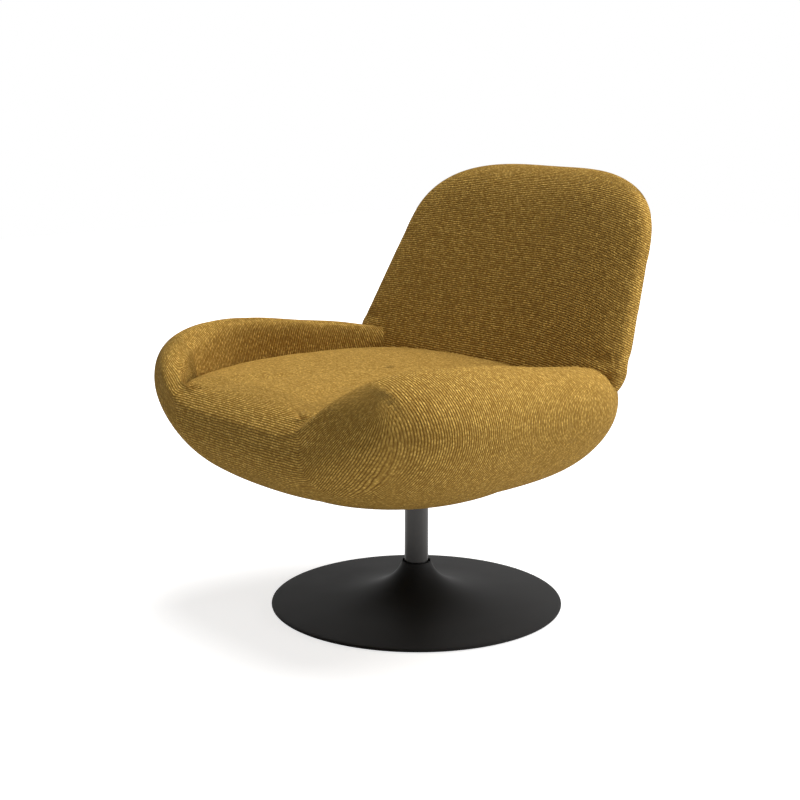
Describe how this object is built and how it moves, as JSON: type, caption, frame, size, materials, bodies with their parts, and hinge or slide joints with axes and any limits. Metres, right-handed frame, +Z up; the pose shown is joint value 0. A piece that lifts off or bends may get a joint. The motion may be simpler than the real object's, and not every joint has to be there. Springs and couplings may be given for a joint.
{
  "type": "pedestal swivel armchair",
  "caption": "Low padded swivel lounge chair: rounded bowl seat with soft arms, a reclined back pad, one slim column and a wide round trumpet base.",
  "frame": {"origin": "on the floor, on the column's axis, at the middle of the base's underside", "axes": "+Z up along the column, -Y the way the chair faces, +X the sitter's left arm"},
  "size_m": [0.7757, 0.7981, 0.7677],
  "materials": {
    "felt": "matte",
    "black_steel": "matte",
    "base_black": "satin",
    "column_steel": "satin",
    "zinc_steel": "satin",
    "black_plastic": "matte",
    "bush_plastic": "matte",
    "plywood": "matte",
    "dust_cloth": "matte",
    "webbing": "matte",
    "mustard_weave": "matte",
    "foam": "matte"
  },
  "bodies": {
    "base": {"floor_felt": "felt", "base_plate": "black_steel", "column_foot": "black_steel", "base_bolts": "zinc_steel", "column_tube": "column_steel", "column_weld": "black_steel", "base_skirt": "base_black", "mouth_ring": "black_plastic", "lower_bush": "bush_plastic", "upper_bush": "bush_plastic", "lower_race": "zinc_steel"},
    "cage": {"ball_cage": "bush_plastic", "race_balls": "zinc_steel"},
    "seat": {"upper_race": "zinc_steel", "swivel_hub": "black_steel", "spindle": "zinc_steel", "spindle_clip": "zinc_steel", "spindle_washer": "zinc_steel", "swivel_plate": "black_steel", "plate_bolts": "zinc_steel", "plate_washers": "zinc_steel", "board_nuts": "zinc_steel", "seat_board": "plywood", "dust_cover": "dust_cloth", "seat_loop": "black_steel", "front_cross_tube": "black_steel", "rear_cross_tube": "black_steel", "tube_saddles": "zinc_steel", "saddle_screws": "zinc_steel", "back_hoop": "black_steel", "back_plates": "zinc_steel", "back_bolts": "zinc_steel", "back_straps": "webbing", "seat_springs": "zinc_steel", "spring_clips": "zinc_steel", "seat_cover": "mustard_weave", "back_cover": "mustard_weave", "left_arm_foam": "foam", "right_arm_foam": "foam", "seat_foam": "foam", "back_foam": "foam"}
  },
  "joints": [
    {"name": "seat_swivel", "type": "hinge", "parent": "base", "child": "seat", "pos_m": [0, 0, 0.2], "axis": [0, 0, 1], "continuous": true},
    {"name": "cage_turn", "type": "hinge", "parent": "base", "child": "cage", "pos_m": [0, 0, 0.2], "axis": [0, 0, 1], "continuous": true}
  ],
  "couplings": [
    {"joint": "cage_turn", "follows": "seat_swivel", "ratio": 0.5}
  ]
}
